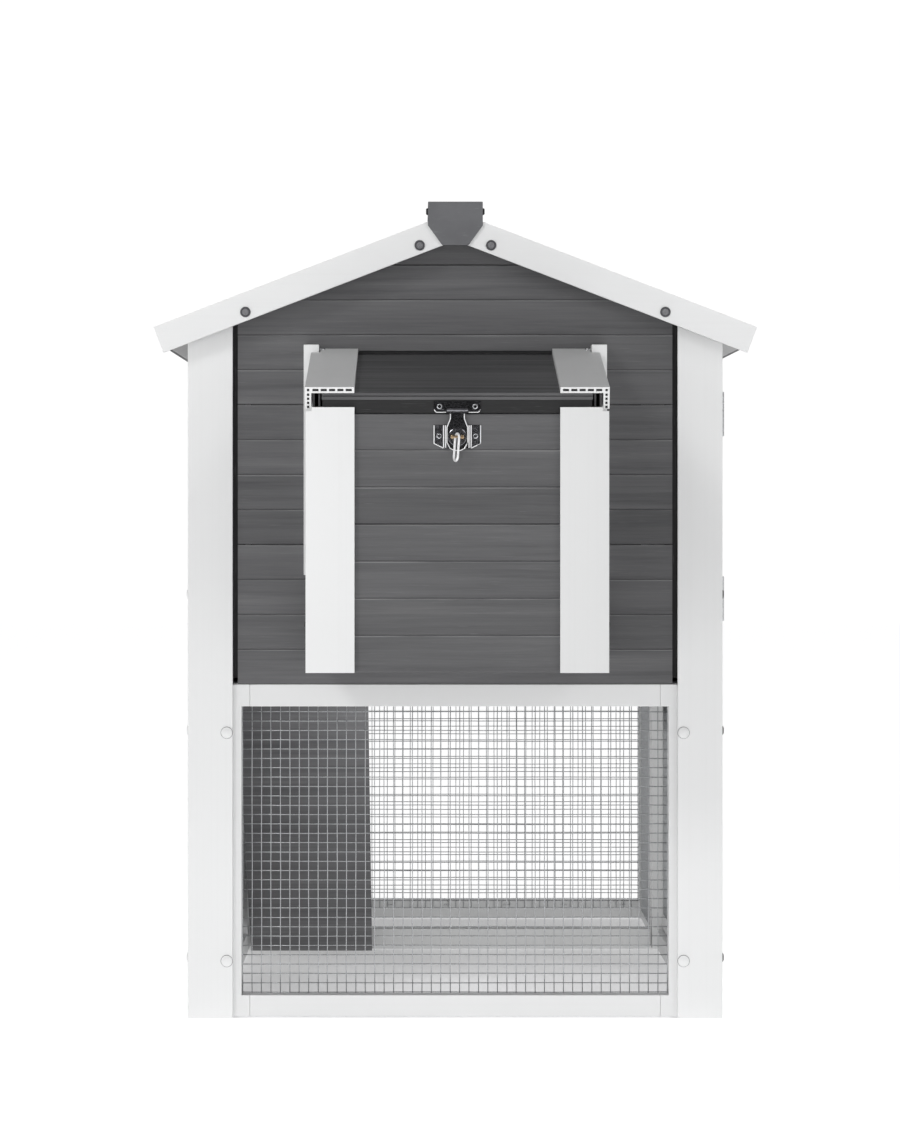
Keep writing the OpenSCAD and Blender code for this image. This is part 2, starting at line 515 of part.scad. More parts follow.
module bolt_keepers() place() color(steel) {
    translate([bolt_x, 757, 690]) difference() {
        translate([hw - bolt_x, -5, -12]) cube([bolt_x - hw + 7, 10, 24]);
        translate([0, -10, 0]) rotate([-90, 0, 0]) cylinder(h = 20, r = 4.6);
    }
    translate([bolt_x, 432, 225]) difference() {
        translate([leg_x - 0.5 - bolt_x, -5, -12]) cube([bolt_x - leg_x + 7.5, 10, 24]);
        translate([0, -10, 0]) rotate([-90, 0, 0]) cylinder(h = 20, r = 4.6);
    }
}

// ---------------------------------------------------------------- tray
module litter_tray() place() color([0.5, 0.5, 0.51]) {
    difference() {
        box(-90, 338, 72, 738, floor_z + 0.3, floor_z + 26);
        box(-87, 335, 75, 735, floor_z + 3.3, floor_z + 40);
    }
    difference() {
        box(338, door_xo, 68, 741, floor_z + 0.3, floor_z + 31);
        box(342, door_xo + 1, 345, 465, floor_z + 7, floor_z + 22);
    }
}

// ---------------------------------------------------------------- fasteners
module dome(r, h) union() { cylinder(h = h * 0.55, r = r); translate([0, 0, h * 0.55]) cylinder(h = h * 0.45, r1 = r, r2 = r * 0.72); }
module white_screw_caps() place() color(white) {
    for (s = [-1, 1], z = [77, 382.2]) {
        translate([s * 305.4, 0, z]) rotate([90, 0, 0]) dome(7.6, 2.4);
        translate([s * 342.5, L, z]) rotate([-90, 0, 0]) dome(7.6, 2.4);
    }
    for (z = [80, 384.5, 567], y = [16, L - 44]) translate([-hw, y, z]) rotate([0, -90, 0]) dome(6.2, 2.6);
}
module grey_screw_caps() place() color(dark) for (m = [0, 1]) translate([0, m * L, 0]) mirror([0, m, 0])
    for (s = [-1, 1], p = [[47.5, 1031.6], [279, 943]]) translate([s * p[0], -overhang, p[1]]) rotate([90, 0, 0]) dome(7, 2.6);
module black_screw_heads() place() color([0.1, 0.1, 0.1]) {
    for (z = [80, 384.5, 567], y = [16, L - 44]) translate([hw, y, z]) rotate([0, 90, 0]) dome(6.2, 2.6);
    for (s = [0, 1]) mirror([s, 0, 0]) for (y = [-22, 290, 590, 890, L + 22])
        translate([cap_hw, y, 1077]) rotate([0, 90, 0]) dome(4.5, 2.6);
    for (s = [0, 1]) mirror([s, 0, 0]) translate([nest_hw, -nest_d + 14, 535]) rotate([0, 90, 0]) dome(4.2, 1.8);
}

front_left_post();
front_right_post();
rear_posts();
middle_posts();
front_run_frame();
rear_run_frame();
cross_rails();
right_run_frame();
left_run_frame();
rear_bay_run_frames();
front_run_mesh();
rear_run_mesh();
right_run_mesh();
rear_bay_run_meshes();
front_gable_siding();
rear_gable_siding();
left_siding();
wall_studs();
wall_plates();
window_frame();
window_mesh();
house_floor();
ramp();
left_roof_panel();
right_roof_panel();
front_rake_trims();
rear_rake_trims();
ridge_cap();
ridge_beam();
nest_front_panel();
nest_side_panels();
nest_floor();
nest_corner_trims();
nest_wall_trims();
lid_boards();
lid_trims();
lid_batten();
lid_hinge_wall_leaves();
lid_hinge_lid_leaves();
hasp_plate();
hasp_strap();
staple_plate();
lock_ring();
house_door_frame();
house_door_siding();
house_door_hinge_leaves();
house_door_bolt_guide();
house_door_bolt();
run_door_frame();
run_door_mesh();
run_door_hinge_leaves();
run_door_bolt_guide();
run_door_bolt();
door_hinge_post_leaves();
bolt_keepers();
litter_tray();
white_screw_caps();
grey_screw_caps();
black_screw_heads();
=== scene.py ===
import bpy
import bmesh
import json
import math
import random
from mathutils import Vector, Matrix, Euler

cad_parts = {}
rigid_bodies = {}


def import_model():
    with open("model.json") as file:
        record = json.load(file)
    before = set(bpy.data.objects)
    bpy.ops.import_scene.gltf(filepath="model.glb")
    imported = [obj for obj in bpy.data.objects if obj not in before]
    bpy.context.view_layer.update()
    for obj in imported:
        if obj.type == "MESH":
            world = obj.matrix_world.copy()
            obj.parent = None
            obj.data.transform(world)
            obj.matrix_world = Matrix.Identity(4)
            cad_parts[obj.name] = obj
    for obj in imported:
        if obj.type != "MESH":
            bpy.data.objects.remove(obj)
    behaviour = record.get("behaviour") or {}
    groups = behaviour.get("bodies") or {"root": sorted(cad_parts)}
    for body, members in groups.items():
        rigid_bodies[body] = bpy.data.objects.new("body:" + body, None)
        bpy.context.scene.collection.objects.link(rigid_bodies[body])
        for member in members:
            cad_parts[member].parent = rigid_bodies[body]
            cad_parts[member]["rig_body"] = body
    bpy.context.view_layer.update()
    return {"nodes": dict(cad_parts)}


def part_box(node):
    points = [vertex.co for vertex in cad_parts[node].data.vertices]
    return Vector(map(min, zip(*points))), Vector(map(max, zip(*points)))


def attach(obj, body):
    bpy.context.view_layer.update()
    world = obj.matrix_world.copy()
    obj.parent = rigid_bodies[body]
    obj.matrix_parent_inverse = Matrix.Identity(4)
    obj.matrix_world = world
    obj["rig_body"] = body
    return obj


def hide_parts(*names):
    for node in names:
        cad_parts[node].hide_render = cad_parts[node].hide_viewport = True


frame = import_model()
N = frame["nodes"]
BODY = {n: o["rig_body"] for n, o in N.items()}
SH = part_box("front_left_post")[0].y          # depth 0: the front face of the front posts
rng = random.Random(7)


# ------------------------------------------------------------------ node helpers
class Mat:
    """Small helper around a node material."""

    def __init__(self, name):
        self.m = bpy.data.materials.new(name)
        self.m.use_nodes = True
        self.nt = self.m.node_tree
        self.nt.nodes.clear()
        self.out = self.nt.nodes.new("ShaderNodeOutputMaterial")
        self.b = self.nt.nodes.new("ShaderNodeBsdfPrincipled")
        self.link(self.b.outputs[0], self.out.inputs[0])
        self.x = 0

    def link(self, a, b):
        self.nt.links.new(a, b)

    def node(self, kind, **props):
        n = self.nt.nodes.new(kind)
        for k, v in props.items():
            setattr(n, k, v)
        return n

    def coords(self):
        return self.node("ShaderNodeTexCoord").outputs["Object"]

    def mapping(self, scale, loc=(0, 0, 0), rot=(0, 0, 0), src=None):
        n = self.node("ShaderNodeMapping")
        n.inputs["Scale"].default_value = scale
        n.inputs["Location"].default_value = loc
        n.inputs["Rotation"].default_value = rot
        self.link(src if src is not None else self.coords(), n.inputs["Vector"])
        return n.outputs[0]

    def noise(self, vec, scale=1.0, detail=4.0, rough=0.55, dist=0.0):
        n = self.node("ShaderNodeTexNoise")
        n.inputs["Scale"].default_value = scale
        n.inputs["Detail"].default_value = detail
        n.inputs["Roughness"].default_value = rough
        n.inputs["Distortion"].default_value = dist
        self.link(vec, n.inputs["Vector"])
        return n.outputs["Fac"]

    def ramp(self, fac, stops, interp="LINEAR"):
        n = self.node("ShaderNodeValToRGB")
        n.color_ramp.interpolation = interp
        els = n.color_ramp.elements
        while len(els) < len(stops):
            els.new(0.5)
        for e, (p, c) in zip(els, stops):
            e.position = p
            e.color = (c, c, c, 1) if isinstance(c, (int, float)) else (*c, 1)
        self.link(fac, n.inputs[0])
        return n.outputs[0]

    def math(self, op, a, b=None, c=None, clamp=False):
        n = self.node("ShaderNodeMath", operation=op)
        n.use_clamp = clamp
        for i, v in enumerate((a, b, c)):
            if v is None:
                continue
            if isinstance(v, (int, float)):
                n.inputs[i].default_value = v
            else:
                self.link(v, n.inputs[i])
        return n.outputs[0]

    def mix(self, fac, a, b, mode="MIX"):
        n = self.node("ShaderNodeMix", data_type="RGBA", blend_type=mode)
        for sock, v in ((n.inputs[0], fac), (n.inputs[6], a), (n.inputs[7], b)):
            if isinstance(v, (int, float)):
                sock.default_value = v if sock == n.inputs[0] else (v, v, v, 1)
            elif isinstance(v, tuple):
                sock.default_value = (*v, 1)
            else:
                self.link(v, sock)
        return n.outputs[2]

    def bump(self, height, strength, dist, normal=None):
        n = self.node("ShaderNodeBump")
        n.inputs["Strength"].default_value = strength
        n.inputs["Distance"].default_value = dist
        self.link(height, n.inputs["Height"])
        if normal is not None:
            self.link(normal, n.inputs["Normal"])
        return n.outputs[0]

    def split(self, vec):
        n = self.node("ShaderNodeSeparateXYZ")
        self.link(vec, n.inputs[0])
        return n.outputs

    def set(self, **kw):
        names = {"color": "Base Color", "rough": "Roughness", "metal": "Metallic", "normal": "Normal",
                 "spec": "Specular IOR Level", "coat": "Coat Weight", "coat_rough": "Coat Roughness", "ior": "IOR"}
        for k, v in kw.items():
            s = self.b.inputs[names[k]]
            if isinstance(v, (int, float)):
                s.default_value = v
            elif isinstance(v, tuple):
                s.default_value = (*v, 1)
            else:
                self.link(v, s)


def axis_scale(axis, along, across):
    s = [across, across, across]
    s["xyz".index(axis)] = along
    return tuple(s)


# ------------------------------------------------------------------ materials
def siding(name, axis, pitch_axis, z0, light=1.0, pitch=0.0468, painted_light_falloff=None):
    """Dark grey moulded siding: streaks along the board, a tone of its own for each plank face,
    pale arrises beside the grooves as a painted highlight broken up like rubbing, and an optional painted light
    falloff across X."""
    m = Mat(name)
    co = m.coords()
    s = m.split(co)
    h = s["XYZ".index(pitch_axis.upper())]
    rel = m.math("DIVIDE", m.math("SUBTRACT", h, z0), pitch)
    plank = m.math("FLOOR", rel)
    frac = m.math("FRACT", rel)
    wn = m.node("ShaderNodeTexWhiteNoise", noise_dimensions="1D")
    m.link(plank, wn.inputs["W"])
    shift = m.node("ShaderNodeCombineXYZ")
    m.link(m.math("MULTIPLY", wn.outputs[0], 7.0), shift.inputs[0])
    m.link(m.math("MULTIPLY", wn.outputs[0], 3.0), shift.inputs[1])
    m.link(m.math("MULTIPLY", wn.outputs[0], 5.0), shift.inputs[2])
    va = m.node("ShaderNodeVectorMath", operation="ADD")
    m.link(co, va.inputs[0]); m.link(shift.outputs[0], va.inputs[1])
    vec = va.outputs[0]
    broad = m.noise(m.mapping(axis_scale(axis, 1.3, 26), src=vec), 1.0, 5, 0.6, 0.4)
    mid = m.noise(m.mapping(axis_scale(axis, 3.5, 120), src=vec), 1.0, 6, 0.62, 0.25)
    fine = m.noise(m.mapping(axis_scale(axis, 12, 620), src=vec), 1.0, 4, 0.6)
    pore = m.noise(m.mapping(axis_scale(axis, 160, 900), src=vec), 1.0, 3, 0.5)
    streak = m.math("ADD", m.math("MULTIPLY", broad, 0.45), m.math("ADD", m.math("MULTIPLY", mid, 0.38), m.math("MULTIPLY", fine, 0.17)))
    base = m.ramp(streak, [(0.30, (0.074 * light, 0.074 * light, 0.078 * light)), (0.47, (0.118 * light, 0.118 * light, 0.122 * light)),
                           (0.56, (0.136 * light, 0.136 * light, 0.140 * light)), (0.72, (0.185 * light, 0.184 * light, 0.186 * light))])
    tone = m.math("ADD", 0.90, m.math("MULTIPLY", wn.outputs[0], 0.16))
    base = m.mix(1.0, base, m.node_rgb(tone), "MULTIPLY")
    # painted light: the colour is scaled across X, brightest near the middle and darkest at the right, standing for
    # the light falling off away from the left
    if painted_light_falloff:
        t = m.math("ADD", 0.5, m.math("MULTIPLY", s[0], 1.0 / 0.64))
        base = m.mix(1.0, base, m.ramp(t, [(0.08, painted_light_falloff[0]), (0.42, painted_light_falloff[1]), (0.58, painted_light_falloff[1]), (0.92, painted_light_falloff[2])]), "MULTIPLY")
    # pale line just under each groove: a painted highlight where the plank's chamfer catches the light, broken up like
    # rubbing; dark line just above it
    pale = m.ramp(frac, [(0.0, 0.0), (0.955, 0.0), (0.972, 1.0), (0.992, 0.55), (1.0, 0.0)])
    brk = m.ramp(m.noise(m.mapping(axis_scale(axis, 9, 60), src=vec), 1.0, 3), [(0.35, 0.25), (0.6, 1.0)])
    base = m.mix(m.math("MULTIPLY", m.math("MULTIPLY", pale, brk), 0.62), base, (0.34, 0.34, 0.345))
    dk = m.ramp(frac, [(0.0, 1.0), (0.022, 0.55), (0.05, 0.0), (1.0, 0.0)])
    base = m.mix(m.math("MULTIPLY", dk, 0.35), base, (0.03, 0.03, 0.032))
    # fine pale scuffs
    sc = m.noise(m.mapping(axis_scale(axis, 30, 1500), loc=(3, 1, 2), src=vec), 1.0, 2, 0.5)
    base = m.mix(m.ramp(sc, [(0.66, 0.0), (0.74, 0.28)]), base, (0.25, 0.25, 0.255))
    m.set(color=base, rough=m.ramp(mid, [(0.3, 0.60), (0.7, 0.46)]), spec=0.42)
    hgt = m.math("ADD", m.math("MULTIPLY", mid, 0.5), m.math("ADD", m.math("MULTIPLY", fine, 0.35), m.math("MULTIPLY", pore, 0.15)))
    m.set(normal=m.bump(hgt, 0.55, 0.0007))
    return m.m


def node_rgb(self, fac):
    n = self.node("ShaderNodeCombineColor")
    for i in range(3):
        self.link(fac, n.inputs[i])
    return n.outputs[0]


Mat.node_rgb = node_rgb


def white(name, axis, rot=(0, 0, 0), tone=1.0, painted_light_falloff=None):
    """Satin white extruded trim: very faint draw lines along its length, a soft cloudy tone, small rubs."""
    m = Mat(name)
    co = m.mapping((1, 1, 1), rot=rot)
    lines = m.noise(m.mapping(axis_scale(axis, 0.7, 210), src=co), 1.0, 4, 0.55)
    fine = m.noise(m.mapping(axis_scale(axis, 5, 1500), src=co), 1.0, 2, 0.5)
    cloud = m.noise(co, 2.3, 4, 0.5, 0.3)
    grime = m.noise(m.mapping(axis_scale(axis, 4, 11), loc=(5, 2, 9), src=co), 1.0, 6, 0.66, 0.5)
    base = m.ramp(cloud, [(0.3, (0.795 * tone, 0.80 * tone, 0.80 * tone)), (0.7, (0.835 * tone, 0.84 * tone, 0.84 * tone))])
    base = m.mix(m.ramp(lines, [(0.36, 0.07), (0.50, 0.0)]), base, (0.66, 0.66, 0.655))
    base = m.mix(m.ramp(grime, [(0.64, 0.0), (0.82, 0.10)]), base, (0.60, 0.59, 0.57))
    sc = m.noise(m.mapping(axis_scale(axis, 22, 700), loc=(1, 7, 3), src=co), 1.0, 2, 0.5)
    base = m.mix(m.ramp(sc, [(0.72, 0.0), (0.78, 0.16)]), base, (0.64, 0.64, 0.64))
    # arrises painted lighter where pointiness is high: partly rubbing, partly a painted highlight along the edges
    geo = m.node("ShaderNodeNewGeometry")
    edge = m.ramp(geo.outputs["Pointiness"], [(0.50, 0.0), (0.56, 0.22)])
    base = m.mix(edge, base, (0.88, 0.88, 0.875))
    # painted light: the colour is scaled across X, darker towards the right, standing for the light falling off away
    # from the left
    if painted_light_falloff:
        x = m.split(m.coords())[0]
        t = m.math("ADD", 0.5, m.math("MULTIPLY", x, 1.0 / 0.38))
        base = m.mix(1.0, base, m.ramp(t, [(0.02, painted_light_falloff[0]), (0.98, painted_light_falloff[1])]), "MULTIPLY")
    m.set(color=base, rough=m.ramp(m.noise(co, 26.0, 5), [(0.3, 0.38), (0.7, 0.52)]), spec=0.42)
    hgt = m.math("ADD", m.math("MULTIPLY", lines, 0.6), m.math("MULTIPLY", fine, 0.4))
    m.set(normal=m.bump(hgt, 0.16, 0.0005))
    return m.m


def plastic(name, col, rough=0.45, grain=420, strength=0.25):
    m = Mat(name)
    co = m.coords()
    cl = m.noise(co, 9.0, 5, 0.6, 0.2)
    dark = tuple(c * 0.82 for c in col)
    lite = tuple(min(1, c * 1.16) for c in col)
    base = m.ramp(cl, [(0.3, dark), (0.7, lite)])
    scr = m.noise(m.mapping((60, 900, 900)), 1.0, 3)
    base = m.mix(m.ramp(scr, [(0.64, 0.0), (0.74, 0.3)]), base, tuple(min(1, c * 1.8 + 0.03) for c in col))
    m.set(color=base, rough=m.ramp(m.noise(co, 60.0, 3), [(0.3, rough - 0.08), (0.7, rough + 0.10)]), spec=0.45)
    m.set(normal=m.bump(m.noise(co, grain * 2.0, 3, 0.6), strength, 0.0004))
    return m.m


def metal(name, lo, hi, rough, grain=240, spots=0.0, bump=0.12, metallic=1.0):
    m = Mat(name)
    co = m.coords()
    n1 = m.noise(co, grain, 4, 0.6, 0.2)
    base = m.ramp(n1, [(0.32, lo), (0.68, hi)])
    if spots:
        sp = m.noise(m.mapping((1, 1, 1), loc=(4, 4, 4)), grain * 0.35, 6, 0.7)
        base = m.mix(m.ramp(sp, [(0.58, 0.0), (0.72, spots)]), base, tuple(c * 0.45 for c in lo))
    m.set(color=base, metal=metallic, rough=m.ramp(n1, [(0.3, rough * 0.75), (0.7, rough * 1.3)]))
    m.set(normal=m.bump(m.noise(co, grain * 3.0, 3), bump, 0.0003))
    return m.m


Z_DECK = 0.4465
M = {}
# front gable siding: painted light falloff across its width, darker towards the right
M["siding_front"] = siding("siding_front", "x", "z", Z_DECK, painted_light_falloff=(0.90, 1.0, 0.78), light=1.08)
M["siding_side"] = siding("siding_side", "y", "z", Z_DECK)
M["siding_nest"] = siding("siding_nest", "x", "z", 0.475, 0.82)
M["siding_nest_side"] = siding("siding_nest_side", "y", "z", 0.475)
M["siding_door"] = siding("siding_door", "y", "z", 0.529)
M["siding_lid"] = siding("siding_lid", "x", "y", SH - 0.2765, 0.80, pitch=0.0468 * math.cos(math.radians(12.5)))
M["siding_roof"] = siding("siding_roof", "y", "x", 0.401 - 0.0026, 0.85, pitch=0.0468 * math.cos(math.radians(21)))
M["siding_roof_left"] = siding("siding_roof_left", "y", "x", 0.0026 - 0.401, 0.85, pitch=0.0468 * math.cos(math.radians(21)))
M["boards_plain"] = siding("boards_plain", "x", "z", -50.0, 0.95, pitch=40.0)
M["boards_ramp"] = siding("boards_ramp", "x", "z", -50.0, 1.34, pitch=40.0)
# lid batten: a dark board, darkened further as painted shade under the lid's overhang
M["batten_dark_painted_shade"] = siding("batten_dark_painted_shade", "x", "z", -50.0, 0.14, pitch=40.0)
M["white_z"] = white("white_z", "z")
M["white_x"] = white("white_x", "x", tone=0.93)
# lid and nest trims: painted light falloff, darker towards the right; the lid trims' white is also toned down to 0.97
# as painted shade on their upward faces
M["white_lid"] = white("white_lid", "y", tone=0.97, painted_light_falloff=(1.0, 0.93))
M["white_nest"] = white("white_nest", "z", painted_light_falloff=(0.97, 0.84))
M["white_y"] = white("white_y", "y")
M["white_rake"] = white("white_rake", "x")
# white trim toned down to grey as painted shade: the eave strips lie in the shadow under the roof's edges
M["strip_white_painted_shade"] = white("strip_white_painted_shade", "y", tone=0.42)
# studs darkened nearly to black as painted shade, so the recess beside the posts reads as shadowed
M["stud_painted_shade"] = siding("stud_painted_shade", "z", "x", -50.0, 0.22, pitch=40.0)
M["cap"] = plastic("ridge_cap_grey", (0.150, 0.152, 0.160), 0.5)
M["cap_screw"] = plastic("cap_screw_grey", (0.16, 0.16, 0.17), 0.42, 900)
M["tray"] = plastic("tray_grey_plastic", (0.24, 0.245, 0.25), 0.4)
M["galv"] = metal("galvanised_wire", (0.40, 0.41, 0.42), (0.62, 0.63, 0.64), 0.34, 900, 0.25)
M["zinc"] = metal("zinc_plate", (0.55, 0.56, 0.57), (0.74, 0.75, 0.76), 0.28, 500, 0.2)
M["chrome"] = metal("chrome_plate", (0.72, 0.73, 0.74), (0.86, 0.87, 0.88), 0.09, 160, 0.0, 0.05)
M["black"] = plastic("black_screw", (0.012, 0.012, 0.013), 0.45, 900)
M["white_cap"] = white("white_cap", "z")
# hasp chrome coloured dark: a painted reflection of the dark surroundings in its mirror faces
M["nickel"] = metal("dark_nickel", (0.20, 0.20, 0.215), (0.30, 0.30, 0.32), 0.12, 300, 0.0, 0.03)
M["ring_steel"] = metal("ring_steel", (0.90, 0.90, 0.91), (0.97, 0.97, 0.98), 0.34, 300, 0.0, 0.02, 0.30)
# near-white and barely metallic: painted highlight for the glint along the hasp's chrome edges
M["rim"] = metal("rim_painted_highlight", (0.90, 0.91, 0.92), (0.97, 0.97, 0.98), 0.36, 700, 0.0, 0.04, 0.30)
M["cap_ring"] = plastic("cap_ring_dark", (0.085, 0.085, 0.092), 0.42, 900)
M["cap_dish"] = plastic("cap_dish_grey", (0.20, 0.20, 0.21), 0.5, 900)
# black plastic used only as painted shade: the strip behind the lid and the plugs in the trims' cells
M["seal"] = plastic("seal_rubber", (0.014, 0.014, 0.015), 0.6, 700, 0.5)
M["brass"] = metal("brass_collar", (0.44, 0.31, 0.18), (0.60, 0.45, 0.28), 0.3, 600, 0.2)


def assign(node, mat):
    o = N[node]
    o.data.materials.clear()
    o.data.materials.append(mat)


for n in ("front_left_post", "front_right_post", "rear_posts", "middle_posts", "nest_wall_trims"):
    assign(n, M["white_z"])
for n in ("front_run_frame", "rear_run_frame", "cross_rails"):
    assign(n, M["white_x"])
for n in ("right_run_frame", "left_run_frame", "rear_bay_run_frames", "wall_plates", "window_frame", "house_door_frame", "run_door_frame"):
    assign(n, M["white_y"])
for n in ("front_rake_trims", "rear_rake_trims"):
    assign(n, M["white_rake"])
assign("nest_corner_trims", M["white_nest"])
assign("lid_trims", M["white_lid"])
assign("front_gable_siding", M["siding_front"])
assign("rear_gable_siding", M["siding_front"])
assign("left_siding", M["siding_side"])
assign("nest_front_panel", M["siding_nest"])
assign("nest_side_panels", M["siding_nest_side"])
assign("nest_floor", M["boards_plain"])
assign("house_door_siding", M["siding_door"])
assign("lid_boards", M["siding_lid"])
assign("lid_batten", M["batten_dark_painted_shade"])
assign("left_roof_panel", M["siding_roof_left"])
assign("right_roof_panel", M["siding_roof"])
assign("ramp", M["boards_ramp"])
assign("house_floor", M["boards_plain"])
assign("wall_studs", M["stud_painted_shade"])
assign("ridge_beam", M["boards_plain"])
assign("ridge_cap", M["cap"])
assign("grey_screw_caps", M["cap_screw"])
assign("black_screw_heads", M["black"])
assign("white_screw_caps", M["white_cap"])
assign("litter_tray", M["tray"])
for n in ("hasp_plate", "hasp_strap"):
    assign(n, M["nickel"])
assign("lock_ring", M["ring_steel"])


def staple_metal():
    """Plate in dark metal as a painted dark reflection of its chrome; the staple standing out of it is brassy."""
    m = Mat("staple_nickel")
    co = m.coords()
    y = m.split(co)[1]
    n1 = m.noise(co, 320, 4, 0.6, 0.2)
    plate = m.ramp(n1, [(0.32, (0.20, 0.20, 0.215)), (0.68, (0.30, 0.30, 0.32))])
    brass = m.ramp(n1, [(0.32, (0.34, 0.24, 0.15)), (0.68, (0.48, 0.35, 0.22))])
    out = m.math("LESS_THAN", y, SH - 0.2725 - 0.0058)
    m.set(color=m.mix(out, plate, brass), metal=1.0, rough=m.ramp(n1, [(0.3, 0.12), (0.7, 0.24)]))
    m.set(normal=m.bump(m.noise(co, 900, 3), 0.04, 0.0003))
    return m.m


assign("staple_plate", staple_metal())
for n in ("lid_hinge_wall_leaves", "lid_hinge_lid_leaves", "house_door_hinge_leaves", "run_door_hinge_leaves", "house_door_bolt_guide",
          "house_door_bolt", "run_door_bolt_guide", "run_door_bolt", "door_hinge_post_leaves", "bolt_keepers"):
    assign(n, M["zinc"])


# ------------------------------------------------------------------ edges on the carried-over parts
def soften(node, width, segments=2, angle=32):
    o = N[node]
    w = o.modifiers.new("weld", "WELD")
    w.merge_threshold = 2e-5
    b = o.modifiers.new("bevel", "BEVEL")
    b.width = width
    b.segments = segments
    b.limit_method = "ANGLE"
    b.angle_limit = math.radians(angle)
    b.harden_normals = False
    b.use_clamp_overlap = True
    wn = o.modifiers.new("normals", "WEIGHTED_NORMAL")
    wn.keep_sharp = True
    wn.weight = 60


for n in N:
    if n.endswith("mesh") or n.endswith("meshes"):
        continue
    if n == "lid_trims":
        soften(n, 0.00025, 1)
    elif n in ("hasp_plate", "hasp_strap", "staple_plate"):
        soften(n, 0.0004)
    elif n in ("lock_ring",):
        continue
    elif M["zinc"].name in [s.name for s in N[n].data.materials]:
        soften(n, 0.0004)
    elif n in ("white_screw_caps", "grey_screw_caps", "black_screw_heads"):
        soften(n, 0.0005)
    elif "siding" in n or n.endswith("panel") or n.endswith("panels") or n == "lid_boards":
        soften(n, 0.0003, 1)
    else:
        soften(n, 0.0008)


# ------------------------------------------------------------------ new pieces
def obj_from_bm(name, bm, mat, body, smooth=True):
    me = bpy.data.meshes.new(name)
    bm.to_mesh(me)
    bm.free()
    for p in me.polygons:
        p.use_smooth = smooth
    o = bpy.data.objects.new(name, me)
    bpy.context.scene.collection.objects.link(o)
    me.materials.append(mat)
    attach(o, body)
    return o


def rod(bm, pts, r, sides=6):
    """A bar swept along pts, closed at both ends."""
    rings = []
    pts = [Vector(p) for p in pts]
    for i, p in enumerate(pts):
        d = (pts[min(i + 1, len(pts) - 1)] - pts[max(i - 1, 0)]).normalized()
        up = Vector((0, 0, 1)) if abs(d.z) < 0.9 else Vector((1, 0, 0))
        a = d.cross(up).normalized()
        b = d.cross(a).normalized()
        rings.append([bm.verts.new(p + a * r * math.cos(2 * math.pi * k / sides) + b * r * math.sin(2 * math.pi * k / sides)) for k in range(sides)])
    for r0, r1 in zip(rings, rings[1:]):
        for k in range(sides):
            bm.faces.new((r0[k], r0[(k + 1) % sides], r1[(k + 1) % sides], r1[k]))
    bm.faces.new(list(reversed(rings[0])))
    bm.faces.new(rings[-1])


PITCH = 0.0127
WR = 0.0007


def wire_mesh(name, node, box, flat, seed, staples=None):
    """Welded mesh of 12.7 mm squares inside a CAD grid's box; flat is the axis it is thin along."""
    r = random.Random(seed)
    lo, hi = box
    bm = bmesh.new()
    ax = [a for a in "xyz" if a != flat]
    f = "xyz".index(flat)
    u, v = "xyz".index(ax[0]), "xyz".index(ax[1])
    mid = (lo[f] + hi[f]) / 2
    for a, b, off in ((u, v, -WR * 0.85), (v, u, WR * 0.85)):
        n = int(round((hi[a] - lo[a]) / PITCH))
        step = (hi[a] - lo[a] - 2 * WR) / n
        for i in range(n + 1):
            t = lo[a] + WR + i * step + r.uniform(-0.00012, 0.00012)
            ph = r.uniform(0, 6.28)
            pts = []
            k = 7
            for j in range(k + 1):
                p = [0, 0, 0]
                p[a] = t + 0.00022 * math.sin(ph + j * 1.7)
                p[b] = lo[b] + WR * 0.2 + (hi[b] - lo[b] - WR * 0.4) * j / k
                p[f] = mid + off
                pts.append(p)
            rod(bm, pts, WR, 6)
    bmesh.ops.recalc_face_normals(bm, faces=bm.faces)
    o = obj_from_bm(name, bm, M["galv"], BODY[node])
    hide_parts(node)
    return o


def boxes_of(node, axis=None, parts=1):
    lo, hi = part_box(node)
    return [lo, hi]


wire_mesh("front_run_wire", "front_run_mesh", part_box("front_run_mesh"), "y", 1)
wire_mesh("rear_run_wire", "rear_run_mesh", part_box("rear_run_mesh"), "y", 2)
wire_mesh("right_run_wire", "right_run_mesh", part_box("right_run_mesh"), "x", 3)
wire_mesh("window_wire", "window_mesh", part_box("window_mesh"), "x", 4)
wire_mesh("run_door_wire", "run_door_mesh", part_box("run_door_mesh"), "x", 5)
lo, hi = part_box("rear_bay_run_meshes")
w = 0.002
wire_mesh("rear_bay_right_wire", "rear_bay_run_meshes", (Vector((hi.x - w, lo.y, lo.z)), hi), "x", 6)
wire_mesh("rear_bay_left_wire", "rear_bay_run_meshes", (lo, Vector((lo.x + w, hi.y, hi.z))), "x", 7)

# ------------------------------------------------------------------ eave strips under the roof's edges
def prism(bm, prof, y0, y1):
    """Closed prism of an XZ outline between two depths."""
    a = [bm.verts.new((x, y0, z)) for x, z in prof]
    b = [bm.verts.new((x, y1, z)) for x, z in prof]
    k = len(prof)
    for i in range(k):
        bm.faces.new((a[i], a[(i + 1) % k], b[(i + 1) % k], b[i]))
    bm.faces.new(list(reversed(a)))
    bm.faces.new(b)


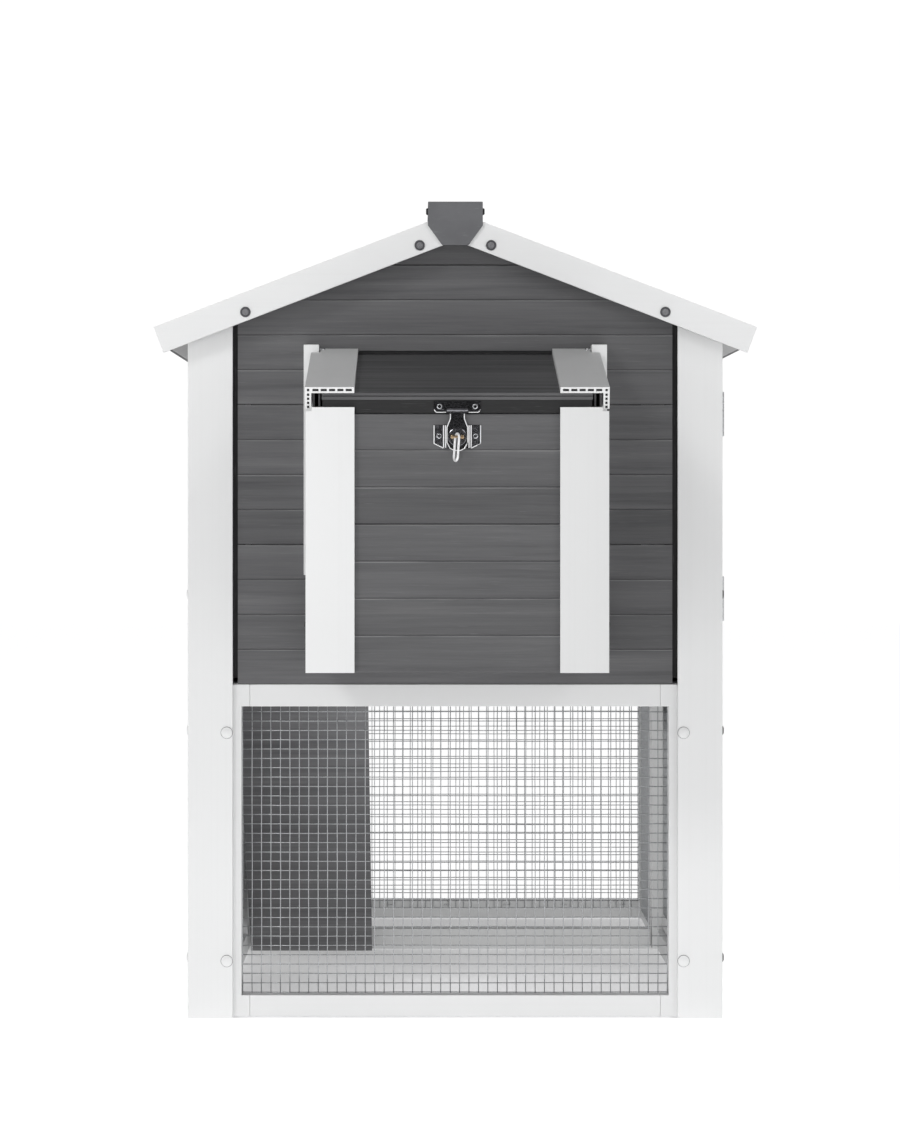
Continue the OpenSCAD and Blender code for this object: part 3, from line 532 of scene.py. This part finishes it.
roof_lo, roof_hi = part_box("right_roof_panel")
rk_lo, rk_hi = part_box("front_rake_trims")
TA = math.tan(math.radians(21))
for side, rname in ((-1, "left"), (1, "right")):
    bm = bmesh.new()
    x1 = roof_hi.x - 0.0105
    x0 = x1 - 0.030
    zu = 1.077 - x1 * TA - 0.0255 / math.cos(math.radians(21)) - 0.0004
    zi = 1.077 - x0 * TA - 0.0255 / math.cos(math.radians(21)) - 0.0004
    prof = [(side * x1, zu), (side * x0, zi), (side * x0, zi - 0.0010), (side * (x0 + 0.001), zi - 0.0018), (side * (x1 - 0.001), zu - 0.0014), (side * x1, zu - 0.0008)]
    prism(bm, prof, roof_lo.y + 0.0006, roof_hi.y - 0.0006)
    bmesh.ops.recalc_face_normals(bm, faces=bm.faces)
    o = obj_from_bm("eave_strip_" + rname, bm, M["strip_white_painted_shade"], "root", smooth=False)
    bv = o.modifiers.new("bevel", "BEVEL"); bv.width = 0.0005; bv.segments = 1

# ------------------------------------------------------------------ turned caps, screws, rims, a black gap strip as painted shadow, and staples
def lathe(bm, c, axis, prof, sides=32):
    """A turned shape: prof is (radius, height along axis) from the rim inwards, last radius 0."""
    c = Vector(c)
    ax = Vector(axis).normalized()
    u = ax.cross(Vector((0, 0, 1)) if abs(ax.z) < 0.9 else Vector((1, 0, 0))).normalized()
    v = ax.cross(u)
    rings = []
    for r, h in prof:
        if r <= 0:
            rings.append([bm.verts.new(c + ax * h)])
        else:
            rings.append([bm.verts.new(c + ax * h + (u * math.cos(2 * math.pi * k / sides) + v * math.sin(2 * math.pi * k / sides)) * r) for k in range(sides)])
    for a, b in zip(rings, rings[1:]):
        for k in range(sides):
            if len(b) == 1:
                bm.faces.new((a[k], a[(k + 1) % sides], b[0]))
            elif len(a) > 1:
                bm.faces.new((a[k], a[(k + 1) % sides], b[(k + 1) % sides], b[k]))
    if len(rings[0]) > 1:
        bm.faces.new(list(reversed(rings[0])))


def build(name, node_or_body, mat, fill, replaces=None, smooth=True):
    bm = bmesh.new()
    fill(bm)
    bmesh.ops.recalc_face_normals(bm, faces=bm.faces)
    o = obj_from_bm(name, bm, mat, BODY.get(node_or_body, node_or_body), smooth)
    if smooth:
        e = o.modifiers.new("edges", "EDGE_SPLIT")
        e.split_angle = math.radians(40)
    if replaces:
        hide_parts(replaces)
    return o


RAKE_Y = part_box("front_rake_trims")[0].y
RAKE_Y1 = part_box("rear_rake_trims")[1].y
cap_at = [(s * x, z) for s in (-1, 1) for x, z in ((0.0475, 1.0316), (0.279, 0.943))]


def rake_caps(prof):
    def fill(bm):
        for x, z in cap_at:
            lathe(bm, (x, RAKE_Y, z), (0, -1, 0), prof)
            lathe(bm, (x, RAKE_Y1, z), (0, 1, 0), prof)
    return fill


build("rake_cap_rings", "grey_screw_caps", M["cap_ring"], rake_caps([(0.0070, 0.0), (0.0070, 0.0009), (0.0066, 0.0019), (0.0059, 0.0024), (0.0051, 0.0024), (0.0046, 0.0017), (0.0045, 0.0)]), "grey_screw_caps")
build("rake_cap_dishes", "grey_screw_caps", M["cap_dish"], rake_caps([(0.0044, 0.0), (0.0044, 0.0015), (0.0038, 0.0018), (0.0022, 0.0017), (0.0014, 0.0010), (0.0, 0.0009)]))


def white_caps(bm):
    dome = lambda r: [(r, 0.0), (r, 0.0008), (r * 0.96, 0.0015), (r * 0.88, 0.0018), (r * 0.80, 0.0015), (r * 0.74, 0.0017), (r * 0.55, 0.0022), (r * 0.28, 0.0024), (0.0, 0.00245)]
    rear_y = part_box("rear_posts")[1].y
    for sx in (-1, 1):
        for z in (0.077, 0.3822):
            lathe(bm, (sx * 0.3054, SH, z), (0, -1, 0), dome(0.0076))
            lathe(bm, (sx * 0.3425, rear_y, z), (0, 1, 0), dome(0.0076))
    for z in (0.080, 0.3845, 0.567):
        for y in (SH + 0.016, rear_y - 0.044):
            lathe(bm, (-0.3575, y, z), (-1, 0, 0), dome(0.0062))


build("white_cap_domes", "white_screw_caps", M["white_cap"], white_caps, "white_screw_caps")

# thin grey rings just behind the white caps: painted shadow in the gap round each cap
def cap_gap_shadow_rings(bm):
    ring = lambda r: [(r + 0.0005, 0.0), (r + 0.0005, 0.00035), (r + 0.0001, 0.0006), (r - 0.0002, 0.0006), (r - 0.0002, 0.0)]
    rear_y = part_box("rear_posts")[1].y
    for sx in (-1, 1):
        for z in (0.077, 0.3822):
            lathe(bm, (sx * 0.3054, SH, z), (0, -1, 0), ring(0.0076))
            lathe(bm, (sx * 0.3425, rear_y, z), (0, 1, 0), ring(0.0076))
    for z in (0.080, 0.3845, 0.567):
        for y in (SH + 0.016, rear_y - 0.044):
            lathe(bm, (-0.3575, y, z), (-1, 0, 0), ring(0.0062))


build("white_cap_gap_shadows", "white_screw_caps", M["cap_dish"], cap_gap_shadow_rings)

# the hasp: near-white rods along its rolled edges as painted highlights, screw rings and a brass collar on each leg of
# the staple
PY = SH - 0.2725                             # front face of the nest box's front panel
STRAP_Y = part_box("hasp_strap")[0].y


def strap_rim(bm):
    y = PY - 0.0052
    o = [(-8.8, 801), (-8.8, 795), (-13, 784), (-13, 765), (-9, 757.5), (-4, 755), (4, 755), (9, 757.5), (13, 765), (13, 784), (8.8, 795), (8.8, 801)]
    pts = []
    for (x0, z0), (x1, z1) in zip(o, o[1:]):
        for k in range(4):
            t = k / 4
            pts.append(((x0 + (x1 - x0) * t) / 1000, y, (z0 + (z1 - z0) * t) / 1000))
    pts.append((o[-1][0] / 1000, y, o[-1][1] / 1000))
    rod(bm, pts, 0.00062, 8)


def plate_rim(bm):
    y = PY - 0.0015
    for sx in (-1, 1):
        o = [(29.3, 786.6), (29.3, 763.7), (17.4, 758.0)]
        rod(bm, [(sx * o[0][0] / 1000, y, o[0][1] / 1000), (sx * 0.0293, y, 0.775), (sx * 0.0293, y, 0.7637), (sx * 0.0234, y, 0.7608), (sx * 0.0174, y, 0.758)], 0.0007, 8)


def fin_rim(bm):
    y = PY - 0.0053
    for sx in (-1, 1):
        for dx in (-0.0013, 0.0013):
            rod(bm, [(sx * 0.016 + dx, y, 0.7584), (sx * 0.016 + dx, y, 0.768), (sx * 0.016 + dx, y, 0.778), (sx * 0.016 + dx, y, 0.7866)], 0.00075, 8)


def top_rim(bm):
    y = PY - 0.0014
    for sx in (-1, 1):
        rod(bm, [(sx * 0.0142, y, 0.8031), (sx * 0.020, y, 0.8031), (sx * 0.0262, y, 0.8031), (sx * 0.0282, y, 0.8046), (sx * 0.0290, y, 0.8066)], 0.00055, 8)


def screws(points, y):
    def fill(bm):
        for x, z, t in points:
            lathe(bm, (x, y, z), (0, -1, 0), [(0.0036, 0.0), (0.0036, 0.0005), (0.0032, 0.0013), (0.0026, 0.0017), (0.0021, 0.0013), (0.0019, 0.0004), (0.0, 0.0003)], 24)
    return fill


build("hasp_strap_rim", "hasp_strap", M["rim"], strap_rim)
build("staple_plate_rim", "staple_plate", M["rim"], plate_rim)
build("staple_fin_rims", "staple_plate", M["rim"], fin_rim)
build("hasp_plate_rim", "hasp_plate", M["rim"], top_rim)
build("hasp_plate_screws", "hasp_plate", M["chrome"], screws([(-0.0224, 0.8104, 0), (0.0224, 0.8104, 0)], PY - 0.0020))
build("staple_plate_screws", "staple_plate", M["chrome"], screws([(-0.0228, 0.7732, 0), (0.0228, 0.7732, 0)], PY - 0.0021))


def collars(bm):
    for sx in (-1, 1):
        lathe(bm, (sx * 0.006, PY - 0.0074, 0.772), (0, -1, 0), [(0.0024, 0.0), (0.0026, 0.0006), (0.0024, 0.0014), (0.0019, 0.0017), (0.0, 0.0018)], 20)


build("staple_collars", "staple_plate", M["brass"], collars)


# black strip between the wall and the lid's rear edge: painted shadow standing for the shade in the gap there
def seal(bm):
    y0, y1, z0, z1 = SH + 0.0018, SH + 0.0077, 0.8893, 0.8931
    prof = [(y0, z0), (y1, z0), (y1, z1), (y0 + 0.0022, z1), (y0, z1 - 0.0016)]
    n = 24
    rows = []
    for i in range(n + 1):
        x = -0.129 + 0.258 * i / n
        w = 0.00012 * math.sin(i * 2.1)
        rows.append([bm.verts.new((x, y, z + w)) for y, z in prof])
    k = len(prof)
    for a, b in zip(rows, rows[1:]):
        for j in range(k):
            bm.faces.new((a[j], a[(j + 1) % k], b[(j + 1) % k], b[j]))
    bm.faces.new(list(reversed(rows[0])))
    bm.faces.new(rows[-1])


build("lid_seal", "root", M["seal"], seal, smooth=False)


# small screws through the lid's trims into the hinges
def lid_screws(bm):
    t = math.radians(12.5)
    for sx in (-1, 1):
        c = Vector((sx * 0.177, SH - 0.0105 * math.cos(t) - 0.0065 * math.sin(t), 0.890 - 0.0105 * math.sin(t) + 0.0065 * math.cos(t)))
        lathe(bm, c, (0, -math.sin(t), math.cos(t)), [(0.0040, -0.0006), (0.0040, 0.0006), (0.0034, 0.0015), (0.0024, 0.0018), (0.0016, 0.0016), (0.0011, 0.0008), (0.0, 0.0007)], 24)


build("lid_trim_screws", "lid_trims", M["chrome"], lid_screws)


def lid_cells(bm):
    """Black plugs in the ends of the hollow cells as painted shade, seen from in front of the lid's trims."""
    t = math.radians(12.5)
    w, leg, th, n, c = 62.0, 28.0, 7.8, 5, 4
    cells = [(th / 2 - 1.5, th / 2 - 1.5, 3, 3)]
    cells += [(th + 1.6 + i * (w - th - 2) / n, th / 2 - 1.5, (w - th - 2) / n - 2.8, 3) for i in range(n)]
    cells += [(th / 2 - 1.5, th + 0.5 + j * (leg - th + 0.6) / c, 3, 3.2) for j in range(c)]
    yb, yf = -(285.2 - 9.0), -(285.2 - 1.6)
    for sx in (-1, 1):
        for a, b, du, dv in cells:
            q = []
            for y in (yb, yf):
                for u, v in ((a, b), (a + du, b), (a + du, b + dv), (a, b + dv)):
                    e = 0.12
                    uu = min(max(u, a + e), a + du - e)
                    vv = min(max(v, b + e), b + dv - e)
                    lx, lz = 191.7 - uu, 6.5 - vv
                    q.append(bm.verts.new((sx * lx / 1000, SH + (y * math.cos(t) - lz * math.sin(t)) / 1000, 0.890 + (y * math.sin(t) + lz * math.cos(t)) / 1000)))
            for f in ((0, 1, 2, 3), (4, 7, 6, 5), (0, 4, 5, 1), (1, 5, 6, 2), (2, 6, 7, 3), (3, 7, 4, 0)):
                bm.faces.new([q[k] for k in f])


build("lid_trim_cell_ends", "lid_trims", M["seal"], lid_cells, smooth=False)


def staples(bm):
    """Wire staples holding the mesh to the inner faces of the end frames."""
    r = random.Random(11)
    rear_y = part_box("rear_run_mesh")[0].y
    front_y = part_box("front_run_mesh")[1].y
    for y, d, half in ((rear_y, -1, 0.291), (front_y, 1, 0.272)):
        for z in (0.0238, 0.4285):
            for i in range(7):
                x = -half + 2 * half * i / 6 + r.uniform(-0.003, 0.003)
                w, t = 0.0052, r.uniform(-0.0006, 0.0006)
                yy = y + d * 0.0006
                yb = y - d * 0.0024
                rod(bm, [(x - w, yb, z - t), (x - w, yy, z - t), (x, yy + d * 0.0002, z), (x + w, yy, z + t), (x + w, yb, z + t)], 0.0006, 6)


build("mesh_staples", "front_run_mesh", M["zinc"], staples)

# ------------------------------------------------------------------ camera, floor and light
cam_data = bpy.data.cameras.new("camera")
cam = bpy.data.objects.new("camera", cam_data)
bpy.context.scene.collection.objects.link(cam)
D0 = 4.72
cam.location = (-0.047, SH - D0, 0.680)
cam.rotation_euler = (math.radians(90), 0, 0)
cam_data.sensor_width = 36
cam_data.lens = 0.748 * 1000 * D0 / 1125 * 36
cam_data.shift_x = 30 / 1125
cam_data.shift_y = -52.5 / 1125
cam_data.clip_end = 60
bpy.context.scene.camera = cam

bm = bmesh.new()
s = 16
vs = [bm.verts.new(p) for p in ((-s, -s, 0), (s, -s, 0), (s, s, 0), (-s, s, 0))]
bm.faces.new(vs)
me = bpy.data.meshes.new("studio_floor")
bm.to_mesh(me); bm.free()
floor = bpy.data.objects.new("studio_floor", me)
bpy.context.scene.collection.objects.link(floor)
fm = Mat("studio_floor")
# a lit white sweep that glows; over the hutch's footprint its glow drops, with a cloudy variation, as a painted shadow
# under the hutch
fc = fm.split(fm.coords())
ox = fm.math("DIVIDE", fm.math("SUBTRACT", fm.math("ABSOLUTE", fc[0]), 0.335), 0.02, clamp=True)
oy = fm.math("DIVIDE", fm.math("SUBTRACT", fm.math("ABSOLUTE", fm.math("SUBTRACT", fc[1], SH + 0.59)), 0.575), 0.02, clamp=True)
outside = fm.math("MAXIMUM", ox, oy)
cloud = fm.noise(fm.coords(), 1.6, 3)
# painted shadow: inside the footprint the glow falls to a cloudy 0.29 to 0.45 of the outside's
inner = fm.ramp(cloud, [(0.3, 0.29), (0.7, 0.45)])
em = fm.mix(outside, inner, 1.0)
fm.set(color=(0.80, 0.80, 0.81), rough=0.9, spec=0.0)
fm.link(em, fm.b.inputs["Emission Color"])
fm.b.inputs["Emission Strength"].default_value = 0.82
me.materials.append(fm.m)

world = bpy.data.worlds.new("studio")
bpy.context.scene.world = world
world.use_nodes = True
nt = world.node_tree
nt.nodes.clear()
wo = nt.nodes.new("ShaderNodeOutputWorld")
bg = nt.nodes.new("ShaderNodeBackground")
bg2 = nt.nodes.new("ShaderNodeBackground")
bg2.inputs[0].default_value = (1, 1, 1, 1)
bg2.inputs[1].default_value = 1.02
bg.inputs[1].default_value = 1.0
tc = nt.nodes.new("ShaderNodeTexCoord")
dot = nt.nodes.new("ShaderNodeVectorMath"); dot.operation = "DOT_PRODUCT"
dot.inputs[1].default_value = (0, -1, 0)
nt.links.new(tc.outputs["Generated"], dot.inputs[0])
cr = nt.nodes.new("ShaderNodeValToRGB")
E = cr.color_ramp.elements
E[0].position = 0.0; E[0].color = (0.34, 0.34, 0.345, 1)
E[1].position = 0.70; E[1].color = (0.62, 0.62, 0.625, 1)
e = E.new(0.90); e.color = (0.30, 0.30, 0.30, 1)
e = E.new(0.975); e.color = (0.03, 0.03, 0.03, 1)
nt.links.new(dot.outputs["Value"], cr.inputs[0])
sep = nt.nodes.new("ShaderNodeSeparateXYZ")
nt.links.new(tc.outputs["Generated"], sep.inputs[0])
cz = nt.nodes.new("ShaderNodeValToRGB")
E = cz.color_ramp.elements
E[0].position = 0.0; E[0].color = (1.2, 1.2, 1.2, 1)
E[1].position = 0.75; E[1].color = (0.42, 0.42, 0.42, 1)
nt.links.new(sep.outputs[2], cz.inputs[0])
mul = nt.nodes.new("ShaderNodeMix"); mul.data_type = "RGBA"; mul.blend_type = "MULTIPLY"
mul.inputs[0].default_value = 1.0
nt.links.new(cr.outputs[0], mul.inputs[6]); nt.links.new(cz.outputs[0], mul.inputs[7])
nt.links.new(mul.outputs[2], bg.inputs[0])
lp = nt.nodes.new("ShaderNodeLightPath")
ms = nt.nodes.new("ShaderNodeMixShader")
nt.links.new(lp.outputs["Is Camera Ray"], ms.inputs[0])
nt.links.new(bg.outputs[0], ms.inputs[1])
nt.links.new(bg2.outputs[0], ms.inputs[2])
nt.links.new(ms.outputs[0], wo.inputs[0])


def area(name, loc, target, size, power, size_y=None):
    d = bpy.data.lights.new(name, "AREA")
    d.shape = "RECTANGLE"
    d.size = size
    d.size_y = size_y or size
    d.energy = power
    o = bpy.data.objects.new(name, d)
    bpy.context.scene.collection.objects.link(o)
    o.location = loc
    o.rotation_euler = (Vector(target) - Vector(loc)).to_track_quat("-Z", "Y").to_euler()
    return o


area("key_left", (-2.3, -3.7, 3.05), (0, -0.5, 0.6), 1.1, 39, 1.1)
area("key_right", (2.4, -3.6, 2.95), (0, -0.5, 0.6), 1.1, 14, 1.1)
front = area("fill_front", (-0.25, -5.9, 0.72), (-0.05, 0, 0.70), 2.2, 48, 1.6)
front.visible_glossy = False
inner = area("run_fill", (0.08, SH + 0.16, 0.40), (0.16, SH + 1.15, 0.20), 0.42, 0.75, 0.06)
inner.visible_glossy = False
inner.visible_camera = False
bpy.context.scene.view_settings.view_transform = "Standard"
bpy.context.scene.view_settings.look = "None"
